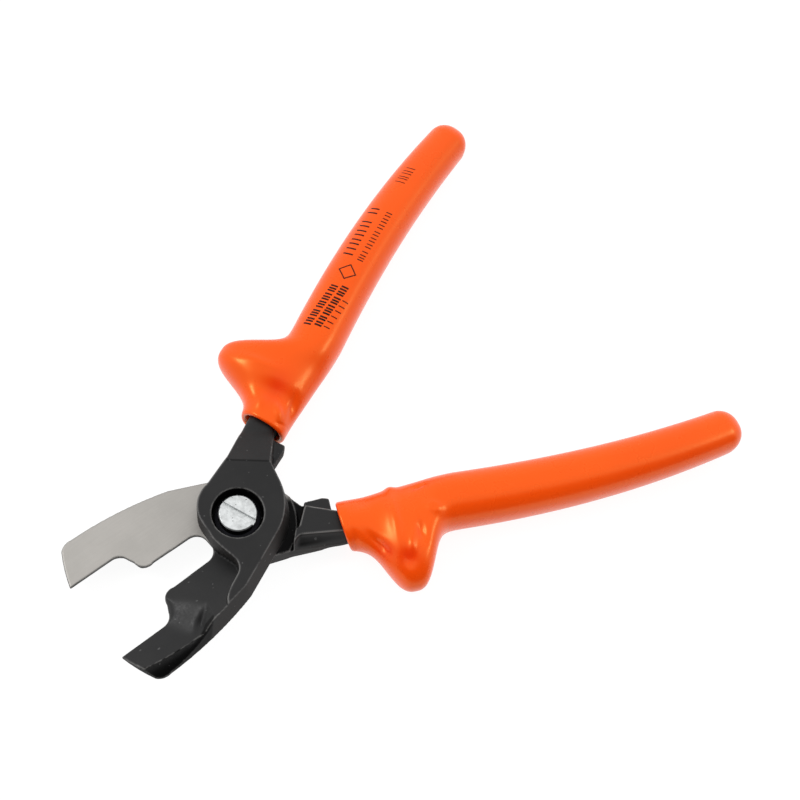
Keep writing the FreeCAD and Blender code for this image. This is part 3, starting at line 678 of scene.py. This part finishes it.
# Printed marks along the front handle: each row's start, its middle line there and at its end, its
# height, the width of its ticks, and the spaces between their middles.
MARK_ROWS = (
    (62.0, 6.3, 4.0, 2.2, 0.55, (1.1, 0.9, 1.3, 0.9, 0.9, 1.5, 1.0, 0.9, 1.2, 0.9, 1.1, 1.4, 0.9, 1.0)),
    (62.6, 3.2, 0.9, 2.2, 0.60, (1.0, 1.2, 0.9, 1.4, 1.0, 0.9, 1.1, 1.3, 0.9, 1.0, 1.5, 0.9, 1.1, 1.0)),
    (63.0, 0.6, -1.0, 1.9, 0.32, (2.0, 2.1, 2.2, 2.0, 2.1)),
    (89.4, 4.7, 3.6, 3.0, 0.50, (2.2, 2.0, 1.7, 2.0, 1.7, 2.0, 1.8, 3.9, 1.8)),
    (88.6, 0.5, -1.2, 1.9, 0.32, (0.9, 1.0, 1.4, 1.9, 1.2, 1.4, 1.2, 1.4, 1.2, 1.8, 1.2, 1.4, 1.2, 1.4, 1.2)),
    (121.2, 0.2, -0.9, 3.2, 0.28, (1.5, 0.9, 1.5, 1.1, 1.4)),
)
# The diamond's place and its outer and inner radius.
MARK_DIAMOND = (83.2, 2.4, 2.9, 2.4)
# The ink stands this far over the skin, and its underside this far in it.
INK_HEIGHT, INK_ROOT = 0.035, -0.15


def printed_marks(material):
    """Ticks and a diamond of ink that lie on the front grip's skin."""
    place, body = ARMS["front"]
    form = bmesh.new()
    for start, first, last, height, width, spaces in MARK_ROWS:
        places = [start + sum(spaces[:count]) for count in range(len(spaces) + 1)]
        for u in places:
            middle = first + (last - first) * (u - start) / (places[-1] - start)
            tick = bmesh.ops.create_grid(form, x_segments=1, y_segments=6, size=0.5)["verts"]
            bmesh.ops.scale(form, verts=tick, vec=(width, height, 1))
            bmesh.ops.translate(form, verts=tick, vec=(u, middle, 0))
    u, v, outer, inner = MARK_DIAMOND
    corners = []
    for radius in (outer, inner):
        corners += bmesh.ops.create_circle(form, segments=4, radius=radius)["verts"]
    bmesh.ops.translate(form, verts=corners, vec=(u, v, 0))
    sides = {edge for corner in corners for edge in corner.link_edges}
    band = bmesh.ops.bridge_loops(form, edges=list(sides))["faces"]
    sides = {edge for face in band for edge in face.edges}
    bmesh.ops.subdivide_edges(form, edges=list(sides), cuts=7, use_grid_fill=True)
    under = bmesh.ops.extrude_face_region(form, geom=form.faces[:])["geom"]
    sunk = {item for item in under if isinstance(item, bmesh.types.BMVert)}
    for vert in form.verts:
        vert.co = on_skin(vert.co.x, vert.co.y, INK_ROOT if vert in sunk else INK_HEIGHT) * MM
    bmesh.ops.transform(form, verts=form.verts, matrix=place)
    finish_piece(new_piece("printed_marks", form), body, "front_grip", material)


def dipped_grip(side, material):
    """A tube of rings, each ring laid on its own section of the handle, then dented where the dip ran."""
    place, body = ARMS[side]
    lean = MOUTH_LEAN[side]
    stations = grip_stations()
    form = bmesh.new()
    bmesh.ops.create_circle(form, segments=SIDES, radius=1)
    edges = list(form.edges)
    for _ in stations[1:]:
        grown = bmesh.ops.extrude_edge_only(form, edges=edges)["geom"]
        ring = [item for item in grown if isinstance(item, bmesh.types.BMVert)]
        edges = [item for item in grown if isinstance(item, bmesh.types.BMEdge)]
        bmesh.ops.translate(form, verts=ring, vec=(0, 0, 1))
    for vert in form.verts:
        turn = math.atan2(vert.co.y, vert.co.x)
        section = stations[round(vert.co.z)]
        across = section["half"] * oval(turn) * math.cos(turn)
        up = section["depth"] * oval(turn) * math.sin(turn)
        u = section["u"] - across * math.sin(section["slope"]) + lean * up * section["mouth"]
        v = section["v"] + across * math.cos(section["slope"])
        vert.co = (u, v, up)
    bmesh.ops.remove_doubles(form, verts=form.verts, dist=0.001)
    bmesh.ops.scale(form, verts=form.verts, vec=(MM, MM, MM))
    bmesh.ops.transform(form, verts=form.verts, matrix=place)
    grip = new_piece(side + "_grip_dipped", form)
    modify(grip, "SUBSURF", levels=1, render_levels=1)
    settle(grip)
    to_arm = arm_turn(place)
    fold_grip(grip.data, side, to_arm)
    mark_grip(grip.data, side, to_arm)
    finish_piece(grip, body, side + "_grip", material)


def mark_grip(mesh, side, to_arm):
    """Stores the painted shade that darkens the mouth with depth, and the painted shade on the guards'
    slopes.
    """
    local = arm_points(mesh, to_arm)
    # Painted shade: the mouth's wall darkens with depth.
    store(mesh, "painted_shade", inside_mouth(local) * fade(local[:, 0], GRIP_START, GRIP_START + 6))
    # The painted shade on the guards lies only on the side that faces up.
    seen = fade(read_vertices(mesh, "co")[:, 2], 1 * MM, 4 * MM)
    painted_guard_shade = np.zeros(len(local))
    for u, v, length, width in PAINTED_GUARD_SHADE[side]:
        painted_guard_shade += np.exp(-((local[:, 0] - u) / length) ** 2 - ((local[:, 1] - v) / width) ** 2)
    store(mesh, "painted_guard_shade", painted_guard_shade * seen)


# ---------------------------------------------------------------- the pivot hardware

def bevelled_copy(node, body, material, width):
    """A turned or pressed piece: the node's own solid with its corners broken."""
    piece = cad_copy(node, node + "_finished")
    form = bmesh.new()
    form.from_mesh(piece.data)
    bmesh.ops.dissolve_limit(form, angle_limit=math.radians(1.5), verts=form.verts, edges=form.edges)
    form.to_mesh(piece.data)
    form.free()
    modify(piece, "BEVEL", width=width * MM, segments=3, limit_method="ANGLE", angle_limit=math.radians(40))
    modify(piece, "WEIGHTED_NORMAL", weight=100)
    settle(piece)
    finish_piece(piece, body, node, material)
    return piece


# The bolt's slot at rest.
SLOT_TURN = math.radians(-67)


def mark_bolt(mesh):
    """Only the bolt's head face and slot are bright; its side and the shank lie in shade, painted dark on the
    head's side below its face.
    """
    points = read_vertices(mesh, "co") / MM
    radius = np.hypot(points[:, 0], points[:, 1])
    across = np.abs(points[:, 1] * math.cos(SLOT_TURN) - points[:, 0] * math.sin(SLOT_TURN))
    # Painted shade on the head's side, below its top face and clear of the slot.
    store(mesh, "painted_shade", fade(radius, 5.12, 5.22) * fade(points[:, 2], 7.95, 7.7) * fade(across, 1.0, 1.3))


def steel_parts():
    """The bolt, its dark spring washer, and the washer, nut and ring on its far end."""
    plate = zinc_plate("zinc_bolt", (0.72, 0.74, 0.74, 1))
    nut = zinc_plate("zinc_nut", (0.66, 0.68, 0.67, 1))
    dark = spring_steel()
    bolt = bevelled_copy("pivot_bolt", "rear_half", plate, 0.10)
    mark_bolt(bolt.data)
    bevelled_copy("lock_nut", "rear_half", nut, 0.35)
    bevelled_copy("back_washer", "rear_half", nut, 0.12)
    bevelled_copy("spring_washer", "rear_half", dark, 0.08)
    bevelled_copy("locking_ring", "rear_half", nylon(), 0.15)


# ---------------------------------------------------------------- the studio

CAMERA_AIM = Vector((60.55, 2.03, 0.0)) * MM
CAMERA_DISTANCE = 367.03 * MM
CAMERA_AZIMUTH, CAMERA_ELEVATION, CAMERA_ROLL = -145.145, 63.478, 17.008
LENS, SENSOR = 56.25, 36.0
FLOOR_REACH, FLOOR_GAP = 12.0, 0.02 * MM


def stand_camera():
    """Stands the camera over the pivot's side of the tool, turned about its own line of sight."""
    camera = bpy.data.objects.new("camera", bpy.data.cameras.new("camera"))
    bpy.context.scene.collection.objects.link(camera)
    bpy.context.scene.camera = camera
    camera.data.lens = LENS
    camera.data.sensor_width = SENSOR
    camera.data.clip_start = 0.01
    azimuth, elevation = math.radians(CAMERA_AZIMUTH), math.radians(CAMERA_ELEVATION)
    level_reach = math.cos(elevation)
    towards = Vector((level_reach * math.cos(azimuth), level_reach * math.sin(azimuth), math.sin(elevation)))
    camera.location = CAMERA_AIM + towards * CAMERA_DISTANCE
    level = (-towards).to_track_quat("-Z", "Y").to_matrix().to_4x4()
    turned = level @ Matrix.Rotation(math.radians(CAMERA_ROLL), 4, "Z")
    camera.rotation_euler = turned.to_euler()


def lay_floor():
    """A plain white floor just under the tool."""
    form = bmesh.new()
    bmesh.ops.create_grid(form, x_segments=1, y_segments=1, size=FLOOR_REACH)
    bmesh.ops.translate(form, verts=form.verts, vec=(0, 0, cad_box[0][2] - FLOOR_GAP))
    floor = new_piece("floor", form)
    paint = Finish("floor_white", Base_Color=(0.12, 0.12, 0.12, 1), Roughness=0.9,
                   Emission_Color=(1, 1, 1, 1), Emission_Strength=0.93)
    floor.data.materials.append(paint.material)


def area_light(name, place, aim, size, radiance):
    """A soft box that shines with a given brightness, whatever its size."""
    light = bpy.data.lights.new(name, "AREA")
    light.shape = "RECTANGLE"
    light.size, light.size_y = size
    light.energy = radiance * math.pi * size[0] * size[1]
    item = bpy.data.objects.new(name, light)
    bpy.context.scene.collection.objects.link(item)
    item.location = place
    item.rotation_euler = (Vector(aim) - Vector(place)).to_track_quat("-Z", "Y").to_euler()


# A white tent all round, open towards the camera's side, where the room is dark.
DARK_SIDE = Vector((-0.492, -0.853, 0.174))
TENT_LIGHT, ROOM_LIGHT = 1.10, 0.16
LIGHTS_AIM = (0.06, 0, 0)


def light_studio():
    """The tent's own light, and two soft boxes over it."""
    world = bpy.data.worlds.new("studio")
    bpy.context.scene.world = world
    world.use_nodes = True
    nodes, links = world.node_tree.nodes, world.node_tree.links
    nodes["Background"].inputs["Color"].default_value = (1, 1, 1, 1)
    direction = nodes.new("ShaderNodeTexCoord").outputs["Generated"]
    dot = nodes.new("ShaderNodeVectorMath")
    dot.operation = "DOT_PRODUCT"
    links.new(direction, dot.inputs[0])
    dot.inputs[1].default_value = DARK_SIDE
    fall = nodes.new("ShaderNodeMapRange")
    fall.interpolation_type = "SMOOTHSTEP"
    links.new(dot.outputs["Value"], fall.inputs["Value"])
    # The tent's skirt stays white all round, so the dark opening begins a little above the floor.
    heights = nodes.new("ShaderNodeSeparateXYZ")
    links.new(direction, heights.inputs[0])
    skirt = nodes.new("ShaderNodeMapRange")
    links.new(heights.outputs["Z"], skirt.inputs["Value"])
    set_range(skirt, 0.05, 0.11, TENT_LIGHT, ROOM_LIGHT)
    set_range(fall, 0.26, 0.54, TENT_LIGHT, ROOM_LIGHT)
    links.new(skirt.outputs["Result"], fall.inputs["To Max"])
    links.new(fall.outputs["Result"], nodes["Background"].inputs["Strength"])
    area_light("soft_box_left", (-0.45, 0.55, 0.85), LIGHTS_AIM, (0.30, 0.30), 11.0)
    area_light("soft_box_right", (0.75, -0.50, 0.75), LIGHTS_AIM, (0.30, 0.25), 6.0)


# ---------------------------------------------------------------- put together

oxide = black_oxide()
for arm_side in ARMS:
    forged_arm(arm_side, oxide)
plastic = dipped_plastic()
for grip_side in ARMS:
    dipped_grip(grip_side, plastic)
printed_marks(printing_ink())
steel_parts()
stand_camera()
lay_floor()
light_studio()
bpy.context.scene.view_settings.view_transform = "Standard"
